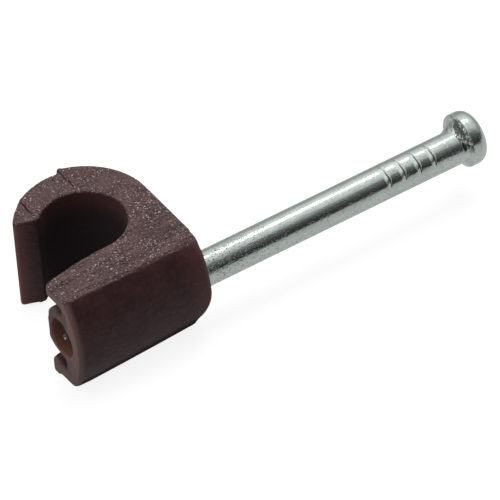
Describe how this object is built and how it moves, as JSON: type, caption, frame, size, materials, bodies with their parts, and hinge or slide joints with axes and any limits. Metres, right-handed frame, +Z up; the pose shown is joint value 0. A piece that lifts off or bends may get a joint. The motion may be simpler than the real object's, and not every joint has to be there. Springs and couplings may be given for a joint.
{
  "type": "cable clip",
  "caption": "Moulded hook-shaped cable clip with a nail set in its block, for holding a round cable against a wall.",
  "frame": {"origin": "on the nail's axis in the plane of the clip's wall face, halfway along the clip", "axes": "+X along the nail from the wall to its head, +Y from the nail towards the hook, +Z up along the cable"},
  "size_m": [0.0281, 0.011, 0.0064],
  "materials": {
    "clip_plastic": "dark brown moulded plastic, spark-eroded grain on the ends and satin elsewhere",
    "nail_zinc": "bright zinc-plated steel with faint drawing marks and dull specks"
  },
  "bodies": {
    "root": {"clip_body": "clip_plastic", "nail": "nail_zinc"}
  },
  "joints": []
}
